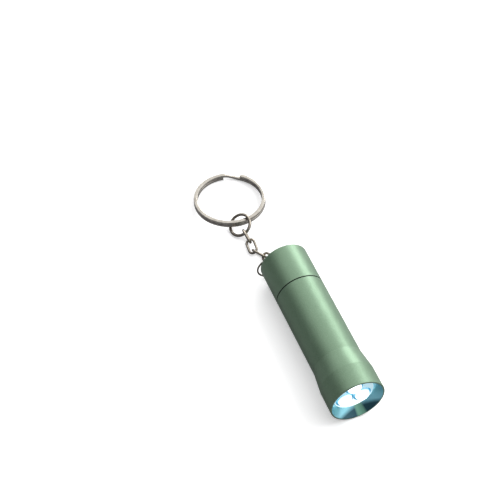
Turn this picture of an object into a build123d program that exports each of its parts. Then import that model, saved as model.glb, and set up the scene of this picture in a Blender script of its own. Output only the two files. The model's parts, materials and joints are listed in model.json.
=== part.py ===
"""Keychain flashlight: a turned aluminium tube with a screwed tail cap, a three-LED
lamp, four button cells, and a short chain with a split key ring.

Millimetres, +Z up. The torch lies on its side, lit end towards -Y, chain towards +Y,
and everything rests on Z = 0. Pieces inside the tube are drawn upright along a local
Z that starts at the tail face ("s"), then laid down together. The last step moves the
origin under the middle of the whole object.
"""
import os
from math import atan, cos, degrees, radians, sin

from build123d import *

# --- driving dimensions -------------------------------------------------------------
body_radius = 8.0            # tube and cap
head_radius = 8.88           # flared head
total_length = 58.0          # tail face to front rim
cap_length = 14.0            # tail face to the seam
flare_start = 43.3           # where the cone to the head begins
flare_end = 50.2             # where the cone meets the head
edge_round = 0.3             # tail edge
rim_round = 0.15             # outer edge of the front rim
seam_gap = 0.12              # free play between cap and barrel shoulder
seam_chamfer = 0.15          # broken edge on both sides of the seam
fit_gap = 0.05               # radial play of discs seated in a bore
running_gap = 0.07           # radial play of the pack that slides in the barrel
weld = 0.01                  # coaxial solids run this far into each other to join

cell_radius = 5.8            # LR44 button cell
cell_height = 5.4
cell_count = 4
cell_gap = 0.08              # play of a cell in the cradle
cell_step = 0.9              # the negative cap is this much smaller in radius
cell_step_height = 0.5
cell_round = 0.3
led_radius = 2.5             # 5 mm LED
led_flange_radius = 2.8
led_flange_height = 1.0
led_height = 8.6
led_hole_gap = 0.03          # play of an LED in the reflector
led_circle_radius = 3.3      # the three LEDs stand on this circle
led_count = 3
leg_side = 0.5               # square LED leg
leg_spread = 1.27            # from the LED's middle to each leg

thread_pitch = 1.0
thread_turns = 5
ridge_foot_half = 0.25       # half width of a thread ridge at its foot
ridge_crest_half = 0.10      # half width at its crest
ridge_sink = 0.06            # the foot is sunk this far into its wall

link_wire = 0.85             # chain link wire
link_length = 5.9            # outside
link_width = 3.6             # outside
jump_wire = 0.6              # ring in the tail eye
jump_radius = 4.65           # its centre line
connector_wire = 1.0
connector_radius = 3.7       # its centre line
key_ring_outer = 12.2
key_ring_band = 1.3          # radial width of the split ring's wire
key_ring_coil = 1.0          # height of one coil
coil_gap = 0.04              # between its two coils
step_angle = 30              # the step from coil to coil takes this much of the turn
step_parts = 6               # sections along the step
step_bite = 1.5              # degrees that the step runs into each coil
chain_slack = 0.08           # play between wires that hang in each other

eye_height = 2.6             # lug on the tail face
eye_width = 2.9
eye_thickness = 1.3
eye_foot = 0.5               # depth of the lug's foot in the cap's end wall
eye_hole_s = -1.35           # hole centre, behind the tail face
eye_hole_radius = 0.62
eye_roll = -50.0             # the cap stopped at this turn when screwed tight

# --- sizes along the torch, as distances s from the tail face ----------------------
shoulder_s = cap_length
cap_front_s = cap_length - seam_gap
cap_floor_s = 1.8
cap_cavity_radius = 6.0
plate_thickness = 0.3
thread_start_s = 6.2
seal_start_s = 12.0          # smooth pilot with the O-ring, up to the shoulder
seal_groove_s = 12.9         # middle of the O-ring's groove
seal_groove_half = 0.35      # half its width
neck_start_s = 5.4
neck_chamfer = 0.2           # lead-in of the neck
cap_relief = 0.2             # the cap's bores start this far behind the neck's steps
reflector_front_s = total_length - 2.8
reflector_thickness = 2.6
reflector_back_s = reflector_front_s - reflector_thickness
led_tip_s = reflector_front_s + 1.6
led_base_s = led_tip_s - led_height
board_thickness = 1.0
lead_length = 3.8
insulator_length = 4.0
insulator_wall = 0.6
board_front_s = led_base_s - lead_length
board_back_s = board_front_s - board_thickness
contact_thickness = 0.4
cradle_start_s = 11.0
cradle_length = cell_count * cell_height + 2 * contact_thickness
cradle_end_s = cradle_start_s + cradle_length
spring_gap = 0.15            # between a spring's tip and the pack it presses
front_spring_radius = 2.6
front_spring_wire = 0.25     # wire radius
front_spring_turns = 6
tail_spring_radius = 4.4
tail_spring_wire = 0.3       # wire radius
tail_spring_turns = 5

# --- radii across the torch ---------------------------------------------------------
barrel_bore = 6.25
pocket_radius = 6.5          # seat of the reflector
mouth_radius = 8.35          # front edge of the bevelled mouth
neck_root = 6.75
neck_crest = 7.10
neck_pilot = 7.05
thread_clearance = 0.10
cap_thread_root = neck_crest + thread_clearance
cap_thread_crest = neck_root + thread_clearance
seal_bore = 7.27
groove_radius = 6.62
seal_wire = 0.56
seal_lift = 0.02             # the O-ring stands off the groove floor

# --- how the torch lies: tail edge and head both touch the table --------------------
lie_angle = degrees(atan((head_radius - body_radius) / (flare_end - edge_round)))
tail_height = body_radius * cos(radians(lie_angle)) - edge_round * sin(radians(lie_angle))
torch_place = Pos(0, 0, tail_height) * Rot(90 - lie_angle, 0, 0)


def disc(radius, start, end):
    """Solid cylinder on the torch axis from s = start to s = end."""
    return Pos(0, 0, start) * Cylinder(radius, end - start, align=(Align.CENTER, Align.CENTER, Align.MIN))


def tube(outer, inner, start, end):
    """Round tube on the torch axis."""
    return disc(outer, start, end) - disc(inner, start - 1, end + 1)


def cone(radius_start, radius_end, start, end):
    """Cone frustum on the torch axis."""
    shape = Cone(radius_start, radius_end, end - start, align=(Align.CENTER, Align.CENTER, Align.MIN))
    return Pos(0, 0, start) * shape


def standing_box(width, depth, height):
    """Box that stands on its local origin."""
    return Box(width, depth, height, align=(Align.CENTER, Align.CENTER, Align.MIN))


def thread_ridge(root, crest, start, turns):
    """Helical ridge of trapezoid section whose foot is sunk a little into its wall."""
    foot = ridge_sink if crest > root else -ridge_sink
    path = Helix(thread_pitch, turns * thread_pitch, root)
    section_points = [
        (root - foot, -ridge_foot_half),
        (crest, -ridge_crest_half),
        (crest, ridge_crest_half),
        (root - foot, ridge_foot_half),
    ]
    section = Plane.XZ * make_face(Polyline(*section_points, close=True))
    return Pos(0, 0, start) * sweep(section, path=path, is_frenet=True)


def coil_spring(radius, wire_radius, start, end, turns):
    """Round-wire helical spring between two flat seats."""
    rise = end - start - 2 * wire_radius
    path = Helix(rise / turns, rise, radius)
    section = Plane(path @ 0, z_dir=path % 0) * Circle(wire_radius)
    return Pos(0, 0, start + wire_radius) * sweep(section, path=path, is_frenet=True)


def tail_cap():
    """Cap with a threaded bore, a seal seat and the eye that carries the chain."""
    shell = disc(body_radius, 0, cap_front_s)
    shell = fillet(shell.edges().filter_by(GeomType.CIRCLE).sort_by(Axis.Z)[0], edge_round)
    shell = chamfer(shell.edges().filter_by(GeomType.CIRCLE).sort_by(Axis.Z)[-1], seam_chamfer)
    shell -= disc(cap_cavity_radius, cap_floor_s, cap_front_s)
    shell -= disc(cap_thread_root, neck_start_s - cap_relief, cap_front_s)
    shell -= disc(seal_bore, seal_start_s - cap_relief, cap_front_s + 1)
    female = thread_ridge(cap_thread_root, cap_thread_crest, thread_start_s, thread_turns)
    shell += Rot(0, 0, 180) * female
    return shell + tail_eye()


def tail_eye():
    """Round-nosed lug on the tail face with a cross hole for the jump ring."""
    nose_radius = eye_width / 2
    nose_s = -eye_height + nose_radius
    nose = Rot(0, 90, 0) * Cylinder(nose_radius, eye_thickness)
    lug = Pos(0, 0, nose_s) * nose
    lug += Pos(0, 0, (nose_s + eye_foot) / 2) * Box(eye_thickness, eye_width, eye_foot - nose_s)
    hole = Pos(0, 0, eye_hole_s) * Rot(0, 90, 0) * Cylinder(eye_hole_radius, 2 * eye_thickness)
    return Rot(0, 0, eye_roll) * (lug - hole)


def barrel():
    """Tube, flared head and bevelled mouth turned from one bar, with a threaded neck."""
    shell = disc(body_radius, shoulder_s, flare_start + weld)
    shell += cone(body_radius, head_radius, flare_start, flare_end)
    shell += disc(head_radius, flare_end - weld, total_length)
    shell = fillet(shell.edges().filter_by(GeomType.CIRCLE).sort_by(Axis.Z)[-1], rim_round)
    shell = chamfer(shell.edges().filter_by(GeomType.CIRCLE).sort_by(Axis.Z)[0], seam_chamfer)
    neck = disc(neck_root, neck_start_s, seal_start_s + 0.1)
    neck = chamfer(neck.edges().filter_by(GeomType.CIRCLE).sort_by(Axis.Z)[0], neck_chamfer)
    neck += disc(neck_pilot, seal_start_s, shoulder_s + 0.5)
    groove_start = seal_groove_s - seal_groove_half
    neck -= tube(neck_pilot + 1, groove_radius, groove_start, groove_start + 2 * seal_groove_half)
    neck += thread_ridge(neck_root, neck_crest, thread_start_s, thread_turns)
    shell += neck
    shell -= disc(barrel_bore, neck_start_s - 1, reflector_back_s + weld)
    shell -= disc(pocket_radius, reflector_back_s, reflector_front_s + weld)
    shell -= cone(pocket_radius, mouth_radius, reflector_front_s, total_length)
    return shell


def cap_o_ring():
    """Rubber seal on the neck."""
    middle_radius = groove_radius + seal_lift + seal_wire / 2
    return Pos(0, 0, seal_groove_s) * Torus(middle_radius, seal_wire / 2)


def led_positions():
    """Places of the LEDs across the torch, the first one straight up."""
    return PolarLocations(led_circle_radius, led_count, start_angle=90)


def led_reflector():
    """White disc with a hole for each LED, pressed into the mouth's pocket."""
    body = disc(pocket_radius, reflector_back_s, reflector_front_s)
    hole_radius = led_radius + led_hole_gap
    for place in led_positions():
        body -= place * disc(hole_radius, reflector_back_s - 1, reflector_front_s + 1)
    return body


def led(place):
    """Clear 5 mm LED: flange, straight body and dome."""
    dome_start = led_tip_s - led_radius
    lamp = disc(led_radius, led_base_s, dome_start)
    lamp += disc(led_flange_radius, led_base_s, led_base_s + led_flange_height)
    lamp += Pos(0, 0, dome_start) * Sphere(led_radius)
    return place * lamp


def led_leads():
    """Two square legs under each LED, down to the board."""
    leg = Pos(0, 0, board_front_s) * standing_box(leg_side, leg_side, lead_length)
    legs = []
    for place in led_positions():
        for side in (-leg_spread, leg_spread):
            legs.append(place * Pos(side, 0, 0) * leg)
    return Compound(legs)


def led_board():
    """Round circuit board, soldered to the LED legs."""
    return disc(barrel_bore - fit_gap, board_back_s, board_front_s)


def board_resistor():
    """Chip resistor on the back of the board, between the spring and the insulator."""
    width, length, height = 1.6, 3.2, 0.6
    return Pos(4.5, 0, board_back_s - height) * standing_box(width, length, height)


def insulating_ring():
    """Plastic ring that keeps the pack's edge off the board."""
    outer = barrel_bore - fit_gap
    return tube(outer, outer - insulator_wall, board_back_s - insulator_length, board_back_s)


def front_contact_spring():
    """Spring from the board to the positive end of the pack."""
    tip = cradle_end_s + spring_gap
    return coil_spring(front_spring_radius, front_spring_wire, tip, board_back_s, front_spring_turns)


def tail_spring():
    """Spring from the cap to the negative end of the pack."""
    seat = cap_floor_s + plate_thickness
    tip = cradle_start_s - spring_gap
    return coil_spring(tail_spring_radius, tail_spring_wire, seat, tip, tail_spring_turns)


def tail_contact_plate():
    """Plated disc under the tail spring."""
    return disc(cap_cavity_radius - fit_gap, cap_floor_s, cap_floor_s + plate_thickness)


def battery_cradle():
    """Plastic sleeve round the stack of cells."""
    return tube(barrel_bore - running_gap, cell_radius + cell_gap, cradle_start_s, cradle_end_s)


def cradle_contact(start):
    """Brass disc that closes one end of the sleeve."""
    return disc(cell_radius + fit_gap, start, start + contact_thickness)


def button_cell(index):
    """LR44 cell: can with a smaller raised cap on its negative face."""
    start = cradle_start_s + contact_thickness + index * cell_height
    can_start = start + cell_step_height
    can = disc(cell_radius, can_start, start + cell_height)
    can = fillet(can.edges().filter_by(GeomType.CIRCLE), cell_round)
    return can + disc(cell_radius - cell_step, start, can_start + 0.1)


# --- the chain, laid on the table -----------------------------------------------------
# A chain piece is placed by a frame: its long axis, a second axis across it in its own
# plane, and its centre. Heading 0 points away from the torch; positive turns to its left.

jump_tilt = 3.0              # the jump ring leans this far off the tail face
link_start_angle = 49.1      # round the jump ring from its lowest point, to the right

# name, heading, pitch and roll in degrees, for each link from the torch outwards
chain_links = [
    ("chain_link_1", 14.4, 4.8, 52.3),
    ("chain_link_2", 31.8, -7.5, -45.0),
    ("chain_link_3", 31.0, -3.9, 55.2),
    ("chain_link_4", -1.3, 10.1, -29.0),
    ("chain_link_5", 3.1, 3.8, 65.4),
]
connector_lie = (6.7, 2.7, -34.1)
key_ring_lie = (-9.4, -4.8, 0.2)
key_ring_slack = 1.79        # the split ring hangs loose in the connector ring


def lying_frame(heading, pitch, roll):
    """Long axis and cross axis of a chain piece."""
    turn = radians(heading)
    climb = radians(pitch)
    lean = radians(roll)
    along = Vector(-sin(turn) * cos(climb), cos(turn) * cos(climb), sin(climb))
    level = Vector(0, 0, 1).cross(along).normalized()
    upper = along.cross(level)
    across = level * cos(lean) + upper * sin(lean)
    return along, across


def piece_plane(centre, along, across):
    """Plane with X along the piece and Y across it."""
    return Plane(origin=centre, x_dir=along, z_dir=along.cross(across))


def link_solid():
    """Oval link in the XY plane, long side on X."""
    bend = (link_width - link_wire) / 2
    half_straight = (link_length - link_width) / 2
    straight = Rot(0, 90, 0) * Cylinder(link_wire / 2, 2 * half_straight)
    bend_solid = Rot(0, 0, -90) * Torus(bend, link_wire / 2, major_angle=180, align=None)
    shape = Pos(half_straight, 0, 0) * bend_solid
    shape += Pos(-half_straight, 0, 0) * Rot(0, 0, 180) * bend_solid
    shape += Pos(0, bend, 0) * straight
    shape += Pos(0, -bend, 0) * straight
    return shape


def key_ring_solid():
    """Split ring: a lower coil, one step up, and an upper coil that lies on it.

    The step is a hair slimmer than the coils and runs a little way into each of them.
    """
    middle = key_ring_outer - key_ring_band / 2
    section = Pos(middle, 0, 0) * (Plane.XZ * Rectangle(key_ring_band, key_ring_coil))
    slim = Rectangle(key_ring_band - coil_gap, key_ring_coil - coil_gap)
    slim_section = Pos(middle, 0, 0) * (Plane.XZ * slim)
    coil = revolve(section, Axis.Z, 360 - step_angle)
    coil_rise = key_ring_coil + coil_gap
    angles = [step_angle * part / step_parts for part in range(step_parts + 1)]
    steps = []
    for angle in [-step_bite] + angles + [step_angle + step_bite]:
        share = min(max(angle / step_angle, 0), 1)
        height = -coil_rise / 2 * cos(radians(180 * share))
        steps.append(Pos(0, 0, height) * Rot(0, 0, angle - step_angle) * slim_section)
    ring = Pos(0, 0, coil_rise / 2) * coil + loft(steps)
    return ring + Pos(0, 0, -coil_rise / 2) * coil


def jump_ring_frame():
    """Centre and in-plane axes of the jump ring: away from the eye, and along the eye's hole."""
    eye_centre = (torch_place * Pos(0, 0, eye_hole_s)).position
    roll = radians(-eye_roll)
    tilt = radians(jump_tilt)
    hole_axis = Vector(-cos(roll), 0, sin(roll))
    hang = Vector(-sin(roll) * cos(tilt), sin(tilt), -cos(roll) * cos(tilt))
    return eye_centre + hang * jump_radius, hang, hole_axis


pieces = {}
pivots = {}                  # where each chain piece turns: a point and a direction


def hang_on(name, solid, half_length, wire_radius, lie, hook, slack):
    """Place one chain piece round the hook of the last one and return its own hook.

    A hook is the far wire's centre, its radius and its direction. A piece turns about
    the hook it hangs on.
    """
    hook_centre, hook_radius, hook_direction = hook
    along, across = lying_frame(*lie)
    near_wire = hook_centre - along * (hook_radius + wire_radius + slack)
    centre = near_wire + along * half_length
    pieces[name] = piece_plane(centre, along, across) * solid
    pivots[name] = (hook_centre, hook_direction)
    return centre + along * half_length, wire_radius, across


def build_chain():
    """Jump ring, links, connector ring and split ring, each hung in the last one."""
    centre, hang, hole_axis = jump_ring_frame()
    normal = hang.cross(hole_axis)
    ring_plane = Plane(origin=centre, x_dir=hang, z_dir=normal)
    pieces["tail_jump_ring"] = ring_plane * Torus(jump_radius, jump_wire / 2)
    pivots["tail_jump_ring"] = (centre - hang * jump_radius, -hole_axis)

    down = (Vector(0, 0, -1) + normal * normal.Z).normalized()
    right = normal.cross(down) if normal.cross(down).X > 0 else down.cross(normal)
    turn = radians(link_start_angle)
    point = centre + (down * cos(turn) + right * sin(turn)) * jump_radius
    tangent = right * cos(turn) - down * sin(turn)
    hook = (point, jump_wire / 2, tangent)

    link_half = (link_length - link_wire) / 2
    for name, heading, pitch, roll in chain_links:
        lie = (heading, pitch, roll)
        hook = hang_on(name, link_solid(), link_half, link_wire / 2, lie, hook, chain_slack)
    connector = Torus(connector_radius, connector_wire / 2)
    hook = hang_on(
        "connector_ring", connector, connector_radius, connector_wire / 2, connector_lie, hook, chain_slack
    )
    ring_solid = key_ring_solid()
    band_middle = key_ring_outer - key_ring_band / 2
    hook = hang_on(
        "split_ring", ring_solid, band_middle, key_ring_band / 2, key_ring_lie, hook, key_ring_slack
    )
    # the split ring is thick, so it turns about its own band inside the connector ring
    along, across = lying_frame(*key_ring_lie)
    pivots["split_ring"] = (hook[0] - along * 2 * band_middle, across)


def build_torch():
    """Every piece of the torch, drawn along s and laid down."""
    upright = {
        "tail_cap": tail_cap(),
        "tail_contact_plate": tail_contact_plate(),
        "tail_spring": tail_spring(),
        "barrel": barrel(),
        "cap_o_ring": cap_o_ring(),
        "led_reflector": led_reflector(),
        "led_leads": led_leads(),
        "led_board": led_board(),
        "board_resistor": board_resistor(),
        "front_contact_spring": front_contact_spring(),
        "insulating_ring": insulating_ring(),
        "battery_cradle": battery_cradle(),
        "cradle_rear_contact": cradle_contact(cradle_start_s),
        "cradle_front_contact": cradle_contact(cradle_end_s - contact_thickness),
    }
    for index, place in enumerate(led_positions()):
        upright[f"led_{index + 1}"] = led(place)
    for index in range(cell_count):
        upright[f"cell_{index + 1}"] = button_cell(index)
    for name, shape in upright.items():
        pieces[name] = torch_place * shape


build_torch()
build_chain()

whole = Compound(list(pieces.values())).bounding_box()
to_origin = Pos(-whole.center().X, -whole.center().Y, -whole.min.Z)
os.makedirs("parts", exist_ok=True)
for name, shape in pieces.items():
    export_step(to_origin * shape, f"parts/{name}.step")
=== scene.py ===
import json
from math import cos, pi, radians, sin

import bpy
from mathutils import Matrix, Vector


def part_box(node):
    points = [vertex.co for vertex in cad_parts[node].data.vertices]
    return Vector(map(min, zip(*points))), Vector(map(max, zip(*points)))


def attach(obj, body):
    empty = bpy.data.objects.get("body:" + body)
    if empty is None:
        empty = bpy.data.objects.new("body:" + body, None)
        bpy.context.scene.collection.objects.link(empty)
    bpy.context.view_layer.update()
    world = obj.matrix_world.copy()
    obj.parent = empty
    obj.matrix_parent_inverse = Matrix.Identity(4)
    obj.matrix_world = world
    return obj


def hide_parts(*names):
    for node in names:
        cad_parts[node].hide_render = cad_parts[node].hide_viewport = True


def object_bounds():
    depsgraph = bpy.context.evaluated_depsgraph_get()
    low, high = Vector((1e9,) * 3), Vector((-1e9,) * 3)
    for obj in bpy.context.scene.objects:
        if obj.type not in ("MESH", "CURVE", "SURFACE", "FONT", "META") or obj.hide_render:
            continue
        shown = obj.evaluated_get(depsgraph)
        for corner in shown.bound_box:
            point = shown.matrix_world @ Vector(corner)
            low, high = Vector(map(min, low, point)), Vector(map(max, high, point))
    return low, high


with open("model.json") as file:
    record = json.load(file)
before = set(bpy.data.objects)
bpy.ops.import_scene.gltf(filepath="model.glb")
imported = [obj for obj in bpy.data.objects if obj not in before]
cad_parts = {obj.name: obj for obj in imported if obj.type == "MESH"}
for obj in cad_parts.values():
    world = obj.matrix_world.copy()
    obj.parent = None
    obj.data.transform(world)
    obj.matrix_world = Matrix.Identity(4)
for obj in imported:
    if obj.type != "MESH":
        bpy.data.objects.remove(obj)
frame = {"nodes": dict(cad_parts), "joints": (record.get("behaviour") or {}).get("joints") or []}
cad_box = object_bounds()

# --- The torch's own axis -----------------------------------------------------------------
# Everything turned on the lathe shares one axis. It starts at the middle of the tail face
# and points to the lamp; sizes along it are called s and are counted from the tail face.
mm = 0.001
joints = {joint["name"]: joint for joint in frame["joints"]}
tail_face = Vector(joints["barrel_twist"]["pos_m"])
lampward = Vector(joints["barrel_twist"]["axis"])
across_torch = Vector((1, 0, 0))
above_torch = lampward.cross(across_torch)


def placing(centre, x_axis, y_axis):
    """Matrix that takes a piece drawn at the origin to its place."""
    z_axis = x_axis.cross(y_axis)
    turn = Matrix((x_axis, y_axis, z_axis)).transposed().to_4x4()
    return Matrix.Translation(centre) @ turn


lay_torch = placing(tail_face, across_torch, above_torch)

# --- Camera -------------------------------------------------------------------------------
# Long lens, looking down on the torch from in front of the lamp and a little to one side.
# It is aimed beside the tail face, so the lamp falls to the lower right of the view.
camera_azimuth = radians(-21.39)
camera_height = radians(50.81)
camera_lens = 108.1
camera_sensor = 36
nearest_seen = 0.01
camera_offset = Vector((-14.006, 6.892, 465.29)) * mm  # right, up and back from the tail face

view_right = Vector((cos(camera_azimuth), sin(camera_azimuth), 0))
view_level = Vector((-sin(camera_azimuth), cos(camera_azimuth), 0))
view_forward = view_level * cos(camera_height) - Vector((0, 0, sin(camera_height)))
view_up = view_right.cross(view_forward)
camera_data = bpy.data.cameras.new("camera")
camera_data.lens = camera_lens
camera_data.sensor_width = camera_sensor
camera_data.clip_start = nearest_seen
camera = bpy.data.objects.new("camera", camera_data)
bpy.context.scene.collection.objects.link(camera)
camera_place = tail_face + view_right * camera_offset.x + view_up * camera_offset.y
camera_place -= view_forward * camera_offset.z
camera.matrix_world = placing(camera_place, view_right, view_up)
bpy.context.scene.camera = camera

# --- Floor and light ----------------------------------------------------------------------
# A white board, one soft lamp high on the right, one behind, and a studio that is bright
# at the back and dark at the front, so that plated wire shows light and dark bands.
floor_half = 1.5
board_roughness = 0.35
board_shine = 0.35
board_grain_scale = 40
board_darker = (0.90, 0.90, 0.90, 1)
board_paler = (0.93, 0.93, 0.93, 1)
board_as_the_object_sees_it = (0.30, 0.30, 0.31, 1)
shadow_lift = 0.42  # keeps shadows on the board pale
black = (0, 0, 0, 1)
white = (1, 1, 1, 1)


def new_material(name):
    """Empty node material with its Principled shader and its output."""
    material = bpy.data.materials.new(name)
    material.use_nodes = True
    nodes = material.node_tree.nodes
    shader = nodes["Principled BSDF"]
    return material, nodes, material.node_tree.links, shader


bpy.ops.object.select_all(action="DESELECT")
bpy.ops.mesh.primitive_plane_add(size=2 * floor_half, location=(0, 0, 0))
floor = bpy.context.object
floor.name = "floor_board"
board_white, board_nodes, board_links, board_shader = new_material("board_white")
board_shader.inputs["Roughness"].default_value = board_roughness
board_shader.inputs["Specular IOR Level"].default_value = board_shine
board_noise = board_nodes.new("ShaderNodeTexNoise")
board_noise.inputs["Scale"].default_value = board_grain_scale
board_tint = board_nodes.new("ShaderNodeValToRGB")
board_tint.color_ramp.elements[0].color = board_darker
board_tint.color_ramp.elements[1].color = board_paler
board_links.new(board_noise.outputs["Fac"], board_tint.inputs["Fac"])
board_path = board_nodes.new("ShaderNodeLightPath")
board_mix = board_nodes.new("ShaderNodeMix")
board_mix.data_type = "RGBA"
board_mix.inputs["A"].default_value = board_as_the_object_sees_it
board_links.new(board_path.outputs["Is Camera Ray"], board_mix.inputs["Factor"])
board_links.new(board_tint.outputs["Color"], board_mix.inputs["B"])
board_links.new(board_mix.outputs["Result"], board_shader.inputs["Base Color"])
board_lift = board_nodes.new("ShaderNodeMix")
board_lift.data_type = "RGBA"
board_lift.inputs["A"].default_value = black
board_lift.inputs["B"].default_value = white
board_links.new(board_path.outputs["Is Camera Ray"], board_lift.inputs["Factor"])
board_links.new(board_lift.outputs["Result"], board_shader.inputs["Emission Color"])
board_shader.inputs["Emission Strength"].default_value = shadow_lift
floor.data.materials.append(board_white)

aim = sum((Vector(corner) for corner in cad_box), Vector()) / 2


def soft_lamp(name, heading, height, distance, size, power):
    """Square area lamp aimed at the object; heading 0 is away from the viewer."""
    lamp_data = bpy.data.lights.new(name, "AREA")
    lamp_data.size = size
    lamp_data.energy = power
    lamp = bpy.data.objects.new(name, lamp_data)
    bpy.context.scene.collection.objects.link(lamp)
    turned = view_level * cos(heading) + view_right * sin(heading)
    towards = turned * cos(height) + Vector((0, 0, sin(height)))
    lamp.location = aim + towards * distance
    lamp.rotation_euler = towards.to_track_quat("Z", "Y").to_euler()


lamp_distance = 0.9
soft_lamp("key_lamp", radians(68), radians(46), lamp_distance, size=0.6, power=3.1)
soft_lamp("back_lamp", radians(20), radians(23), lamp_distance, size=0.42, power=2.6)

sky_dark = (0.10, 0.10, 0.11, 1)
sky_white_from = 0.55  # how far towards the bright side the sky turns white
sky_strength = 1.25
sky = bpy.data.worlds.new("studio_sky")
bpy.context.scene.world = sky
sky.use_nodes = True
sky_nodes = sky.node_tree.nodes
sky_links = sky.node_tree.links
sky_bright_side = (view_level + view_right * 0.7 + Vector((0, 0, 0.9))).normalized()
sky_where = sky_nodes.new("ShaderNodeTexCoord")
sky_side = sky_nodes.new("ShaderNodeVectorMath")
sky_side.operation = "DOT_PRODUCT"
sky_side.inputs[1].default_value = sky_bright_side
sky_ramp = sky_nodes.new("ShaderNodeValToRGB")
sky_steps = sky_ramp.color_ramp.elements
sky_steps[0].position = 0.0
sky_steps[0].color = sky_dark
sky_steps[1].position = sky_white_from
sky_steps[1].color = white
sky_links.new(sky_where.outputs["Generated"], sky_side.inputs[0])
sky_links.new(sky_side.outputs["Value"], sky_ramp.inputs["Fac"])
sky_links.new(sky_ramp.outputs["Color"], sky_nodes["Background"].inputs["Color"])
sky_nodes["Background"].inputs["Strength"].default_value = sky_strength
bpy.context.scene.view_settings.view_transform = "Standard"

# --- Barrel and tail cap ------------------------------------------------------------------
# Two pieces of aluminium bar turned on the lathe, bead blasted and anodised green. The
# cap screws on over the neck. The mouth was cut bright after blasting, so it is smooth.
# The dark line at the joint is painted shade, and the colours on the mouth wall are
# painted reflection and painted shade.
mouth_floor_s = 55.2
mouth_rim_s = 57.85
mouth_wall_radius = 8.4
mouth_patch_turn = radians(14)
mouth_painted_glow_reach = 0.075  # how far up the wall one millimetre of depth counts for
joint_start_s = 13.70
joint_end_s = 14.06
patch_fades_from = 0.003  # up the wall, where 0 is its lowest line and 1 its highest
patch_gone_at = 0.012
wall_dark_until = 0.14
wall_bright_at = 0.24
# painted light on the mouth wall: painted shade low down, painted reflections above and a painted green
# reflection at the bottom
wall_painted_shade = (0.03, 0.10, 0.13, 1)
wall_painted_reflection = (0.32, 0.72, 0.84, 1)
wall_painted_reflection_top = (0.18, 0.52, 0.60, 1)
wall_painted_green_reflection = (0.24, 0.52, 0.38)
green_deep = (0.160, 0.260, 0.166)
green_pale = (0.180, 0.286, 0.187)
green_pitted = (0.24, 0.36, 0.25)
green_worn = (0.50, 0.62, 0.50)
# painted shade for the gap between cap and barrel
joint_painted_shade = (0.008, 0.02, 0.01)
skin_metallic = 0.52
satin_low = 0.30
satin_high = 0.42
mouth_roughness = 0.22
blasting_depth = 0.05
floor_margin = 0.1
noise_low = 0.3  # noise lies between these two
noise_high = 0.7


def value_group(name, inputs, outputs):
    """Empty shader node group with named number inputs and outputs."""
    group = bpy.data.node_groups.new(name, "ShaderNodeTree")
    for label, start in inputs:
        socket = group.interface.new_socket(label, in_out="INPUT", socket_type="NodeSocketFloat")
        socket.default_value = start
    for label in outputs:
        group.interface.new_socket(label, in_out="OUTPUT", socket_type="NodeSocketFloat")
    entry = group.nodes.new("NodeGroupInput")
    leave = group.nodes.new("NodeGroupOutput")
    return group, entry, leave


def maths(nodes, links, operation, first, second=None):
    """Math node fed with sockets or plain numbers; returns its result."""
    node = nodes.new("ShaderNodeMath")
    node.operation = operation
    for socket, value in zip(node.inputs, (first, second)):
        if value is None:
            continue
        if isinstance(value, (int, float)):
            socket.default_value = value
        else:
            links.new(value, socket)
    return node.outputs["Value"]


def build_grain():
    """Fine pits of blasting or moulding, with broad soft shading over them."""
    group, entry, leave = value_group("surface_grain", [("Pit Size", 0.2), ("Patch Size", 6.0)],
                                      ["Pits", "Patches"])
    nodes, links = group.nodes, group.links
    where = nodes.new("ShaderNodeTexCoord")
    for size_label, out_label, detail in (("Pit Size", "Pits", 3), ("Patch Size", "Patches", 2)):
        noise = nodes.new("ShaderNodeTexNoise")
        noise.inputs["Detail"].default_value = detail
        scale = maths(nodes, links, "DIVIDE", 1 / mm, entry.outputs[size_label])
        links.new(where.outputs["Object"], noise.inputs["Vector"])
        links.new(scale, noise.inputs["Scale"])
        links.new(noise.outputs["Fac"], leave.inputs[out_label])
    return group


def build_edge_wear():
    """Mask that is 1 on sharp outer edges and fades out over the edge width."""
    group, entry, leave = value_group("edge_wear", [("Width", 0.15), ("Sharpness", 4.0)], ["Mask"])
    nodes, links = group.nodes, group.links
    softened = nodes.new("ShaderNodeBevel")
    softened.samples = 4
    plain = nodes.new("ShaderNodeNewGeometry")
    links.new(maths(nodes, links, "MULTIPLY", entry.outputs["Width"], mm), softened.inputs["Radius"])
    match = nodes.new("ShaderNodeVectorMath")
    match.operation = "DOT_PRODUCT"
    links.new(softened.outputs["Normal"], match.inputs[0])
    links.new(plain.outputs["Normal"], match.inputs[1])
    lost = maths(nodes, links, "SUBTRACT", 1, match.outputs["Value"])
    strong = maths(nodes, links, "MULTIPLY", lost, entry.outputs["Sharpness"])
    links.new(maths(nodes, links, "MINIMUM", strong, 1), leave.inputs["Mask"])
    return group


surface_grain = build_grain()
edge_wear = build_edge_wear()


def place_group(nodes, group, **values):
    """Group node with its number inputs set; underscores in the names stand for spaces."""
    node = nodes.new("ShaderNodeGroup")
    node.node_tree = group
    for label, value in values.items():
        node.inputs[label.replace("_", " ")].default_value = value
    return node


def colour_mix(nodes, links, mask, first, second):
    """Colour that goes from the first to the second where the mask is 1."""
    node = nodes.new("ShaderNodeMix")
    node.data_type = "RGBA"
    links.new(mask, node.inputs["Factor"])
    for socket, value in ((node.inputs["A"], first), (node.inputs["B"], second)):
        if isinstance(value, tuple):
            socket.default_value = (*value, 1)
        else:
            links.new(value, socket)
    return node.outputs["Result"]


def spread(nodes, links, value, low, high):
    """Stretches noise so that it runs from low to high."""
    node = nodes.new("ShaderNodeMapRange")
    node.inputs["From Min"].default_value = noise_low
    node.inputs["From Max"].default_value = noise_high
    node.inputs["To Min"].default_value = low
    node.inputs["To Max"].default_value = high
    links.new(value, node.inputs["Value"])
    return node.outputs["Result"]


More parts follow.
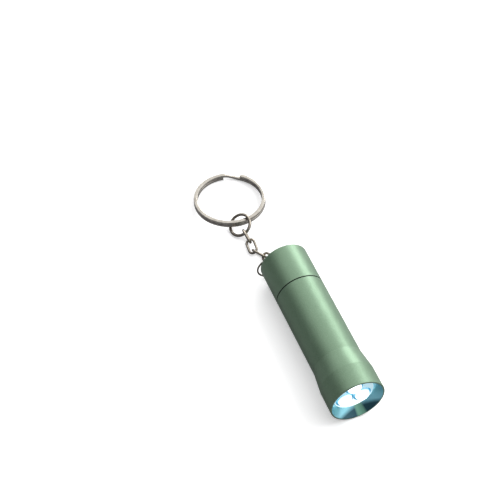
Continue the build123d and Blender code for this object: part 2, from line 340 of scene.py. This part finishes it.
def raise_surface(nodes, links, shader, height, depth, strength):
    """Bump of the given depth in millimetres."""
    node = nodes.new("ShaderNodeBump")
    node.inputs["Distance"].default_value = depth * mm
    node.inputs["Strength"].default_value = strength
    links.new(height, node.inputs["Height"])
    links.new(node.outputs["Normal"], shader.inputs["Normal"])


def torch_place(nodes, links):
    """Place of the surface as (across, above, s) of the torch, in metres."""
    where = nodes.new("ShaderNodeTexCoord")
    turn = nodes.new("ShaderNodeMapping")
    turn.vector_type = "POINT"
    back = lay_torch.inverted()
    turn.inputs["Rotation"].default_value = back.to_euler()
    turn.inputs["Location"].default_value = back.to_translation()
    parts = nodes.new("ShaderNodeSeparateXYZ")
    links.new(where.outputs["Object"], turn.inputs["Vector"])
    links.new(turn.outputs["Vector"], parts.inputs["Vector"])
    return parts


def from_axis(nodes, links, parts):
    """Distance from the torch's axis."""
    across = maths(nodes, links, "POWER", parts.outputs["X"], 2)
    above = maths(nodes, links, "POWER", parts.outputs["Y"], 2)
    return maths(nodes, links, "SQRT", maths(nodes, links, "ADD", across, above))


def mouth_painted_light(nodes, links, parts, radius):
    """Painted light on the mouth wall: painted shade low down, painted reflection above, and a painted
    green reflection at the bottom.
    """
    low_x = maths(nodes, links, "MULTIPLY", parts.outputs["X"], sin(mouth_patch_turn))
    low_y = maths(nodes, links, "MULTIPLY", parts.outputs["Y"], -cos(mouth_patch_turn))
    low = maths(nodes, links, "DIVIDE", maths(nodes, links, "ADD", low_x, low_y), radius)
    round_wall = maths(nodes, links, "MULTIPLY", maths(nodes, links, "SUBTRACT", 1, low), 0.5)
    depth = maths(nodes, links, "SUBTRACT", mouth_rim_s * mm, parts.outputs["Z"])
    deep = maths(nodes, links, "MULTIPLY", depth, mouth_painted_glow_reach / mm)
    wall = nodes.new("ShaderNodeValToRGB")
    steps = wall.color_ramp.elements
    steps[0].position = wall_dark_until
    steps[0].color = wall_painted_shade
    steps[1].position = 1.0
    steps[1].color = wall_painted_reflection_top
    steps.new(wall_bright_at).color = wall_painted_reflection
    links.new(maths(nodes, links, "ADD", round_wall, deep), wall.inputs["Fac"])
    # painted green reflection low on the wall, over the painted shade and reflection
    patch = nodes.new("ShaderNodeMapRange")
    patch.inputs["From Min"].default_value = patch_gone_at
    patch.inputs["From Max"].default_value = patch_fades_from
    links.new(round_wall, patch.inputs["Value"])
    return colour_mix(nodes, links, patch.outputs["Result"], wall.outputs["Color"], wall_painted_green_reflection)


def anodised_finish():
    """Satin green skin with paler worn edges, painted shade in the joint and painted reflection and
    shade on the smooth mouth wall.
    """
    material, nodes, links, shader = new_material("green_anodised_aluminium")
    shader.inputs["Metallic"].default_value = skin_metallic
    grain = place_group(nodes, surface_grain, Pit_Size=0.34, Patch_Size=7.0)
    wear = place_group(nodes, edge_wear, Width=0.14, Sharpness=3.0)
    skin = colour_mix(nodes, links, spread(nodes, links, grain.outputs["Patches"], 0, 1),
                      green_deep, green_pale)
    pitted = colour_mix(nodes, links, spread(nodes, links, grain.outputs["Pits"], 0, 0.5),
                        skin, green_pitted)
    worn = colour_mix(nodes, links, wear.outputs["Mask"], pitted, green_worn)
    # by place along the torch: painted shade in the joint behind, painted reflection and shade on the
    # mouth wall in front
    parts = torch_place(nodes, links)
    radius = from_axis(nodes, links, parts)
    inside = maths(nodes, links, "LESS_THAN", radius, mouth_wall_radius * mm)
    ahead = maths(nodes, links, "GREATER_THAN", parts.outputs["Z"], (mouth_floor_s - floor_margin) * mm)
    in_mouth = maths(nodes, links, "MULTIPLY", inside, ahead)
    behind_joint = maths(nodes, links, "LESS_THAN", parts.outputs["Z"], joint_end_s * mm)
    past_cap = maths(nodes, links, "GREATER_THAN", parts.outputs["Z"], joint_start_s * mm)
    in_joint = maths(nodes, links, "MULTIPLY", behind_joint, past_cap)
    # painted shade darkens the joint between cap and barrel
    joint_shaded = colour_mix(nodes, links, in_joint, worn, joint_painted_shade)
    shade = colour_mix(nodes, links, in_mouth, joint_shaded, mouth_painted_light(nodes, links, parts, radius))
    links.new(shade, shader.inputs["Base Color"])
    satin = spread(nodes, links, grain.outputs["Pits"], satin_low, satin_high)
    smooth_mouth = nodes.new("ShaderNodeMix")
    links.new(in_mouth, smooth_mouth.inputs["Factor"])
    links.new(satin, smooth_mouth.inputs["A"])
    smooth_mouth.inputs["B"].default_value = mouth_roughness
    links.new(smooth_mouth.outputs["Result"], shader.inputs["Roughness"])
    raise_surface(nodes, links, shader, grain.outputs["Pits"], depth=blasting_depth, strength=0.7)
    return material


def give_finish(node, material):
    """Put a material on a CAD node."""
    part = frame["nodes"][node]
    part.data.materials.clear()
    part.data.materials.append(material)


anodised = anodised_finish()
give_finish("barrel", anodised)
give_finish("tail_cap", anodised)

# --- Lamp: white reflector disc -----------------------------------------------------------
# Moulded glossy white disc pressed into the mouth, with a dished seat round each LED. Its
# glow is painted light: brightest at the rim and low side, with painted shade in the seats.
reflector_radius = 6.5
reflector_back_s = 52.6
reflector_front_s = 55.2
led_circle_radius = 3.3
led_count = 3
seat_front_radius = 3.0
seat_depth = 1.1
seat_overrun = 1.0  # how far the cutter stands out in front and behind
led_hole_radius = 2.53
disc_chamfer = 0.1
disc_parts = 96
led_parts = 48
pale_plastic = (0.42, 0.66, 0.74)
deep_plastic = (0.30, 0.52, 0.60)
# painted glow of the disc, and painted shade in the seats
painted_glow_middle = (0.45, 0.72, 0.85)
painted_glow_rim = (0.75, 0.95, 1.0)
painted_glow_low_side = (1.6, 1.7, 1.7)
seat_painted_shade = (0.005, 0.03, 0.05)
painted_glow_middle_radius = 3.0
low_side_from = -1.5  # below the axis
low_side_full = -3.0
seat_edge = 0.12  # behind the front face
disc_painted_glow = 0.6


def clear_selection():
    """Leave edit mode and deselect everything."""
    if bpy.context.mode != "OBJECT":
        bpy.ops.object.mode_set(mode="OBJECT")
    bpy.ops.object.select_all(action="DESELECT")


def turn_on_lathe(name, outline, steps):
    """Solid of revolution about Z from (s, radius) stations, closed at both ends."""
    clear_selection()
    last_s, last_radius = outline[0]
    bpy.ops.mesh.primitive_circle_add(vertices=steps, radius=last_radius * mm, fill_type="NGON",
                                      location=(0, 0, last_s * mm))
    piece = bpy.context.object
    piece.name = name
    bpy.ops.object.transform_apply(location=True, rotation=True, scale=True)
    bpy.ops.object.mode_set(mode="EDIT")
    bpy.ops.mesh.select_all(action="SELECT")
    for s, radius in outline[1:]:
        step = (0, 0, (s - last_s) * mm)
        bpy.ops.mesh.extrude_region_move(TRANSFORM_OT_translate={"value": step})
        change = radius / last_radius
        bpy.ops.transform.resize(value=(change, change, 1), center_override=(0, 0, s * mm))
        last_s = s
        last_radius = radius
    bpy.ops.mesh.select_all(action="SELECT")
    bpy.ops.mesh.normals_make_consistent(inside=False)
    bpy.ops.object.mode_set(mode="OBJECT")
    return piece


def set_down(piece, place, smooth_angle=30):
    """Take a finished piece to its place, keep the place in its mesh, and smooth it."""
    clear_selection()
    piece.matrix_world = place
    piece.select_set(True)
    bpy.context.view_layer.objects.active = piece
    bpy.ops.object.transform_apply(location=True, rotation=True, scale=True)
    bpy.ops.object.shade_smooth_by_angle(angle=radians(smooth_angle))


def cut_away(piece, cutter):
    """Subtract one closed piece from another and delete the cutter."""
    clear_selection()
    bpy.context.view_layer.objects.active = piece
    piece.select_set(True)
    cut = piece.modifiers.new("cut", "BOOLEAN")
    cut.operation = "DIFFERENCE"
    cut.solver = "EXACT"
    cut.object = cutter
    bpy.ops.object.modifier_apply(modifier=cut.name)
    bpy.data.objects.remove(cutter)


def led_place(index):
    """Where an LED stands across the torch; the first is straight up."""
    angle = radians(90 + 360 * index / led_count)
    across = led_circle_radius * mm * cos(angle)
    above = led_circle_radius * mm * sin(angle)
    return Matrix.Translation((across, above, 0))


reflector = turn_on_lathe("white_reflector_disc", [
    (reflector_back_s, reflector_radius - disc_chamfer),
    (reflector_back_s + disc_chamfer, reflector_radius),
    (reflector_front_s - disc_chamfer, reflector_radius),
    (reflector_front_s, reflector_radius - disc_chamfer),
], disc_parts)
for index in range(led_count):
    cutter = turn_on_lathe("seat_cutter", [
        (reflector_back_s - seat_overrun, led_hole_radius),
        (reflector_front_s - seat_depth, led_hole_radius),
        (reflector_front_s, seat_front_radius),
        (reflector_front_s + seat_overrun, seat_front_radius + 0.2 * seat_overrun),
    ], led_parts)
    cutter.matrix_world = led_place(index)
    cut_away(reflector, cutter)
set_down(reflector, lay_torch)


def reflector_finish():
    """White plastic with a painted glow, brightest at the rim and low side, and painted shade inside
    the seats.
    """
    material, nodes, links, shader = new_material("white_plastic_painted_glow")
    grain = place_group(nodes, surface_grain, Pit_Size=0.5, Patch_Size=4.0)
    tint = colour_mix(nodes, links, spread(nodes, links, grain.outputs["Patches"], 0, 1),
                      deep_plastic, pale_plastic)
    parts = torch_place(nodes, links)
    away = from_axis(nodes, links, parts)
    rim = nodes.new("ShaderNodeMapRange")
    rim.inputs["From Min"].default_value = painted_glow_middle_radius * mm
    rim.inputs["From Max"].default_value = reflector_radius * mm
    links.new(away, rim.inputs["Value"])
    flat = colour_mix(nodes, links, rim.outputs["Result"], painted_glow_middle, painted_glow_rim)
    in_seat = maths(nodes, links, "LESS_THAN", parts.outputs["Z"], (reflector_front_s - seat_edge) * mm)
    low_side = nodes.new("ShaderNodeMapRange")
    low_side.inputs["From Min"].default_value = low_side_from * mm
    low_side.inputs["From Max"].default_value = low_side_full * mm
    links.new(parts.outputs["Y"], low_side.inputs["Value"])
    bright = colour_mix(nodes, links, low_side.outputs["Result"], flat, painted_glow_low_side)
    # painted shade inside the seats, painted glow everywhere else
    glow = colour_mix(nodes, links, in_seat, bright, seat_painted_shade)
    links.new(tint, shader.inputs["Base Color"])
    links.new(glow, shader.inputs["Emission Color"])
    shader.inputs["Emission Strength"].default_value = disc_painted_glow
    links.new(spread(nodes, links, grain.outputs["Pits"], 0.25, 0.35), shader.inputs["Roughness"])
    return material


reflector.data.materials.append(reflector_finish())
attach(reflector, "barrel_unit")
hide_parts("led_reflector")

# --- Lamp: three 5 mm LEDs ----------------------------------------------------------------
# Clear epoxy bullets with a flange at the foot, seated in the reflector. They are lit.
led_tip_s = 56.8
led_height = 8.6
led_radius = 2.5
led_flange_radius = 2.8
led_flange_height = 1.0
led_foot_round = 0.15
led_shoulder = 0.1
dome_rings = 10
dome_top_angle = 88
glow_starts = 1.7  # behind the tip
glow_full = 0.5
epoxy_index = 1.54
led_glow = 3.0
epoxy_cool = (0.86, 0.97, 1.0)
epoxy_white = (1.0, 1.0, 1.0)
epoxy_shade = (0.02, 0.10, 0.15)
led_base_s = led_tip_s - led_height
dome_start_s = led_tip_s - led_radius
led_outline = [
    (led_base_s, led_flange_radius - led_foot_round),
    (led_base_s + led_foot_round, led_flange_radius),
    (led_base_s + led_flange_height - led_shoulder, led_flange_radius),
    (led_base_s + led_flange_height, led_radius),
]
for ring in range(dome_rings):
    lift = radians(dome_top_angle) * ring / (dome_rings - 1)
    led_outline.append((dome_start_s + led_radius * sin(lift), led_radius * cos(lift)))


def led_finish():
    """Epoxy lit from inside: white at the tip, blue-green and darker behind it."""
    material, nodes, links, shader = new_material("lit_clear_epoxy")
    parts = torch_place(nodes, links)
    tip = nodes.new("ShaderNodeMapRange")
    tip.inputs["From Min"].default_value = (led_tip_s - glow_starts) * mm
    tip.inputs["From Max"].default_value = (led_tip_s - glow_full) * mm
    links.new(parts.outputs["Z"], tip.inputs["Value"])
    grain = place_group(nodes, surface_grain, Pit_Size=0.8, Patch_Size=2.5)
    tint = colour_mix(nodes, links, spread(nodes, links, grain.outputs["Patches"], 0, 1),
                      epoxy_cool, epoxy_white)
    glow = colour_mix(nodes, links, tip.outputs["Result"], epoxy_shade, tint)
    links.new(tint, shader.inputs["Base Color"])
    links.new(glow, shader.inputs["Emission Color"])
    shader.inputs["Emission Strength"].default_value = led_glow
    links.new(spread(nodes, links, grain.outputs["Pits"], 0.04, 0.10), shader.inputs["Roughness"])
    shader.inputs["IOR"].default_value = epoxy_index
    return material


lit_epoxy = led_finish()
for index in range(led_count):
    lamp_piece = turn_on_lathe(f"lit_led_{index + 1}", led_outline, led_parts)
    set_down(lamp_piece, lay_torch @ led_place(index))
    lamp_piece.data.materials.append(lit_epoxy)
    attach(lamp_piece, "barrel_unit")
    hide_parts(f"led_{index + 1}")

# --- Circuit board, resistor and LED legs -------------------------------------------------
# Fibreglass disc under green solder mask, soldered to the tinned legs of the LEDs. A
# ceramic chip resistor sits on its back.


def inner_finish(name, dark, light, low_rough, high_rough, metallic, pit_size, depth):
    """Plain workshop finish with patchy colour and a fine grain."""
    material, nodes, links, shader = new_material(name)
    shader.inputs["Metallic"].default_value = metallic
    grain = place_group(nodes, surface_grain, Pit_Size=pit_size, Patch_Size=2.0)
    wear = place_group(nodes, edge_wear, Width=0.08, Sharpness=1.5)
    patches = spread(nodes, links, grain.outputs["Patches"], 0, 1)
    base = colour_mix(nodes, links, patches, dark, light)
    rubbed = tuple(min(1.0, channel * 1.3 + 0.02) for channel in light)
    shade = colour_mix(nodes, links, wear.outputs["Mask"], base, rubbed)
    links.new(shade, shader.inputs["Base Color"])
    links.new(spread(nodes, links, grain.outputs["Pits"], low_rough, high_rough),
              shader.inputs["Roughness"])
    raise_surface(nodes, links, shader, grain.outputs["Pits"], depth=depth, strength=0.4)
    return material


give_finish("led_board", inner_finish(
    "board_green_mask", dark=(0.008, 0.09, 0.03), light=(0.02, 0.16, 0.06),
    low_rough=0.25, high_rough=0.4, metallic=0, pit_size=0.3, depth=0.01))
give_finish("board_resistor", inner_finish(
    "resistor_ceramic", dark=(0.01, 0.01, 0.012), light=(0.03, 0.03, 0.03),
    low_rough=0.35, high_rough=0.5, metallic=0, pit_size=0.1, depth=0.006))
give_finish("led_leads", inner_finish(
    "leads_tinned", dark=(0.5, 0.5, 0.5), light=(0.68, 0.68, 0.67),
    low_rough=0.25, high_rough=0.4, metallic=1, pit_size=0.1, depth=0.006))

# --- Contact springs and insulating ring --------------------------------------------------
# Two springs of bright wire press on the ends of the battery pack, one from the board and
# one from the cap. A pale plastic ring keeps the edge of the pack off the board.
spring_wire = inner_finish(
    "spring_wire_bright", dark=(0.42, 0.42, 0.42), light=(0.6, 0.6, 0.6),
    low_rough=0.2, high_rough=0.35, metallic=1, pit_size=0.1, depth=0.006)
give_finish("front_contact_spring", spring_wire)
give_finish("tail_spring", spring_wire)
give_finish("insulating_ring", inner_finish(
    "insulator_natural", dark=(0.62, 0.6, 0.52), light=(0.76, 0.74, 0.67),
    low_rough=0.4, high_rough=0.55, metallic=0, pit_size=0.3, depth=0.012))

# --- Battery pack: sleeve, end contacts and cells -----------------------------------------
# Black plastic sleeve round four button cells in plated steel cans. A stamped brass disc
# closes each end of it.
give_finish("battery_cradle", inner_finish(
    "cradle_black_plastic", dark=(0.012, 0.012, 0.014), light=(0.03, 0.03, 0.034),
    low_rough=0.4, high_rough=0.55, metallic=0, pit_size=0.25, depth=0.012))
brass = inner_finish(
    "contact_brass", dark=(0.52, 0.36, 0.12), light=(0.72, 0.54, 0.24),
    low_rough=0.2, high_rough=0.36, metallic=1, pit_size=0.2, depth=0.006)
give_finish("cradle_rear_contact", brass)
give_finish("cradle_front_contact", brass)
cell_count = 4
cell_can = inner_finish(
    "cell_can_steel", dark=(0.5, 0.5, 0.49), light=(0.66, 0.66, 0.64),
    low_rough=0.18, high_rough=0.32, metallic=1, pit_size=0.15, depth=0.006)
for number in range(1, cell_count + 1):
    give_finish(f"cell_{number}", cell_can)

# --- Contact plate in the cap, and seal ring ----------------------------------------------
# Nickel-plated disc under the tail spring, and a black rubber ring in the groove of the
# barrel's neck.
give_finish("tail_contact_plate", inner_finish(
    "contact_plate_nickel", dark=(0.55, 0.54, 0.5), light=(0.7, 0.68, 0.63),
    low_rough=0.15, high_rough=0.3, metallic=1, pit_size=0.2, depth=0.006))
give_finish("cap_o_ring", inner_finish(
    "seal_rubber_black", dark=(0.012, 0.012, 0.013), light=(0.03, 0.03, 0.03),
    low_rough=0.5, high_rough=0.7, metallic=0, pit_size=0.1, depth=0.01))

# --- Chain links --------------------------------------------------------------------------
# Five oval links of nickel-plated steel wire, bent round and closed with a butt joint in
# the middle of one long side. Each hangs in the last one.
link_wire = 0.85
link_length = 5.9
link_width = 3.6
link_half = (link_length - link_wire) / 2
link_bend = (link_width - link_wire) / 2
link_straight_half = (link_length - link_width) / 2
link_parts = 40
link_wire_parts = 18
link_count = 5
butt_gap = 0.07
butt_groove = 0.80  # thickness left in the groove where the wire's ends meet
plane_margin = 1e-6
nickel_rubbed = (0.85, 0.83, 0.78)


def wire_ring(name, radius, wire, round_parts, wire_parts):
    """Ring of round wire about Z at the origin."""
    clear_selection()
    bpy.ops.mesh.primitive_torus_add(major_radius=radius * mm, minor_radius=wire / 2 * mm,
                                     major_segments=round_parts, minor_segments=wire_parts)
    ring = bpy.context.object
    ring.name = name
    return ring


def select_near(piece, test):
    """Select the vertices whose place passes the test, in vertex mode."""
    bpy.ops.object.mode_set(mode="EDIT")
    bpy.ops.mesh.select_mode(type="VERT")
    bpy.ops.mesh.select_all(action="DESELECT")
    bpy.ops.object.mode_set(mode="OBJECT")
    for vertex in piece.data.vertices:
        vertex.select = test(vertex.co)
    bpy.ops.object.mode_set(mode="EDIT")


def cut_butt_joint(ring, radius):
    """Groove where the wire's two ends meet, on the +Y side of a ring about Z."""

    def on_cut(place):
        return abs(place.x) < plane_margin and place.y > 0

    def in_groove(place):
        return abs(place.x) < butt_gap * mm / 4 and place.y > 0

    select_near(ring, on_cut)
    bpy.ops.mesh.bevel(offset=butt_gap * mm, segments=2, affect="EDGES")
    select_near(ring, in_groove)
    bpy.ops.transform.resize(value=(1, butt_groove, butt_groove), center_override=(0, radius * mm, 0))
    bpy.ops.object.mode_set(mode="OBJECT")


def oval_link(name):
    """One link at the origin, long side on X."""
    link = wire_ring(name, link_bend, link_wire, link_parts, link_wire_parts)
    for side in (1, -1):

        def on_this_side(place):
            return place.x * side > plane_margin

        select_near(link, on_this_side)
        bpy.ops.transform.translate(value=(side * link_straight_half * mm, 0, 0))
        bpy.ops.object.mode_set(mode="OBJECT")
    cut_butt_joint(link, link_bend)
    return link


def plated_finish(name, bright, dull, low_rough, high_rough):
    """Nickel plate: clean metal with patchy tarnish, a fine grain and rubbed edges."""
    material, nodes, links, shader = new_material(name)
    shader.inputs["Metallic"].default_value = 1.0
    grain = place_group(nodes, surface_grain, Pit_Size=0.12, Patch_Size=1.6)
    wear = place_group(nodes, edge_wear, Width=0.10, Sharpness=2.0)
    patches = spread(nodes, links, grain.outputs["Patches"], 0, 1)
    plate = colour_mix(nodes, links, patches, dull, bright)
    shade = colour_mix(nodes, links, wear.outputs["Mask"], plate, nickel_rubbed)
    links.new(shade, shader.inputs["Base Color"])
    links.new(spread(nodes, links, grain.outputs["Patches"], high_rough, low_rough),
              shader.inputs["Roughness"])
    raise_surface(nodes, links, shader, grain.outputs["Pits"], depth=0.01, strength=0.25)
    return material


plated_wire = plated_finish("nickel_plated_wire", bright=(0.46, 0.42, 0.36),
                            dull=(0.25, 0.22, 0.18), low_rough=0.12, high_rough=0.28)
hook_of = ["link_1_swing", "link_2_swing", "link_3_swing", "link_4_swing", "link_5_swing",
           "connector_swing"]
for number in range(1, link_count + 1):
    own_hook = Vector(joints[hook_of[number - 1]]["pos_m"])
    next_hook = Vector(joints[hook_of[number]]["pos_m"])
    along = (next_hook - own_hook).normalized()
    side_axis = Vector(joints[hook_of[number]]["axis"])
    side_axis = (side_axis - along * side_axis.dot(along)).normalized()
    link = oval_link(f"wire_link_{number}")
    set_down(link, placing(next_hook - along * link_half * mm, along, side_axis))
    link.data.materials.append(plated_wire)
    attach(link, f"link_{number}")
    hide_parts(f"chain_link_{number}")

# --- Jump ring in the tail eye, and connector ring ----------------------------------------
# Rings of round plated wire. The thin one passes through the eye on the tail face, the
# thick one joins the last link to the key ring. Both are closed with a butt joint.
ring_parts = 80
ring_wire_parts = 20


def middle_of(node):
    """Middle of a CAD node's box."""
    low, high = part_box(node)
    return (low + high) / 2


def flat_axes(node, hook):
    """In-plane axes of a flat ring: from its middle away from the hook, and across that."""
    middle = middle_of(node)
    outward = (middle - hook).normalized()
    sideways = Vector()
    for vertex in frame["nodes"][node].data.vertices:
        arm = vertex.co - middle
        across = arm - outward * arm.dot(outward)
        if across.length > sideways.length:
            sideways = across
    return middle, outward, sideways.normalized()


for name, node, body, hook_joint, radius, wire in (
    ("wire_jump_ring", "tail_jump_ring", "tail_ring", "tail_ring_swing", 4.65, 0.6),
    ("wire_connector_ring", "connector_ring", "connector", "connector_swing", 3.7, 1.0),
):
    ring_hook = Vector(joints[hook_joint]["pos_m"])
    middle, outward, sideways = flat_axes(node, ring_hook)
    ring = wire_ring(name, radius, wire, ring_parts, ring_wire_parts)
    cut_butt_joint(ring, radius)
    set_down(ring, placing(middle, outward, sideways))
    ring.data.materials.append(plated_wire)
    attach(ring, body)
    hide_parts(node)

# --- Split key ring -----------------------------------------------------------------------
# Flat spring-steel wire wound twice round and nickel plated, with one step between the
# coils and rounded edges all along. Keys are threaded between the coils.
key_ring_outer = 12.2
key_ring_band = 1.3
key_ring_coil = 1.0
coil_gap = 0.04
step_angle = 30
degrees_per_part = 3
band_bevel = 0.22
band_bevel_parts = 3


def coil_section():
    """Rounded rectangle face across the wire, at angle 0 on the lower coil."""
    clear_selection()
    bpy.ops.mesh.primitive_plane_add(size=1)
    band = bpy.context.object
    bpy.ops.object.mode_set(mode="EDIT")
    bpy.ops.mesh.select_all(action="SELECT")
    bpy.ops.transform.resize(value=(key_ring_band * mm, key_ring_coil * mm, 1))
    bpy.ops.mesh.bevel(offset=band_bevel * mm, segments=band_bevel_parts, affect="VERTICES")
    bpy.ops.object.mode_set(mode="OBJECT")
    return band


def wind_key_ring():
    """Wind the section round twice: lower coil, step up, upper coil."""
    band = coil_section()
    band.name = "wound_split_ring"
    middle_radius = (key_ring_outer - key_ring_band / 2) * mm
    rise = (key_ring_coil + coil_gap) * mm
    stand_up = Matrix.Rotation(pi / 2, 4, "X")
    band.data.transform(Matrix.Translation((middle_radius, 0, -rise / 2)) @ stand_up)
    clear_selection()
    band.select_set(True)
    bpy.context.view_layer.objects.active = band
    bpy.ops.object.mode_set(mode="EDIT")
    bpy.ops.mesh.select_all(action="SELECT")
    parts_per_turn = 360 // degrees_per_part
    step_parts = step_angle // degrees_per_part
    coil_parts = parts_per_turn - step_parts
    height = 0.0
    for part in range(2 * coil_parts + step_parts):
        climbed = min(max(part + 1 - coil_parts, 0) / step_parts, 1)
        new_height = rise * (1 - cos(pi * climbed)) / 2
        start = radians(part * degrees_per_part)
        end = radians((part + 1) * degrees_per_part)
        move = Vector((cos(end) - cos(start), sin(end) - sin(start), 0)) * middle_radius
        move.z = new_height - height
        height = new_height
        bpy.ops.mesh.extrude_region_move(TRANSFORM_OT_translate={"value": move})
        centre = (middle_radius * cos(end), middle_radius * sin(end), 0)
        bpy.ops.transform.rotate(value=-radians(degrees_per_part), orient_axis="Z",
                                 center_override=centre)
    bpy.ops.mesh.select_all(action="SELECT")
    bpy.ops.mesh.normals_make_consistent(inside=False)
    bpy.ops.object.mode_set(mode="OBJECT")
    return band


key_ring = wind_key_ring()
ring_pivot = Vector(joints["key_ring_swing"]["pos_m"])
ring_across = Vector(joints["key_ring_swing"]["axis"])
ring_along = middle_of("split_ring") - ring_pivot
ring_along = (ring_along - ring_across * ring_along.dot(ring_across)).normalized()
ring_centre = ring_pivot + ring_along * (key_ring_outer - key_ring_band / 2) * mm
set_down(key_ring, placing(ring_centre, ring_along, ring_across))
plated_band = plated_finish("nickel_plated_band", bright=(0.60, 0.57, 0.51),
                            dull=(0.40, 0.37, 0.33), low_rough=0.10, high_rough=0.24)
key_ring.data.materials.append(plated_band)
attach(key_ring, "key_ring")
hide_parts("split_ring")
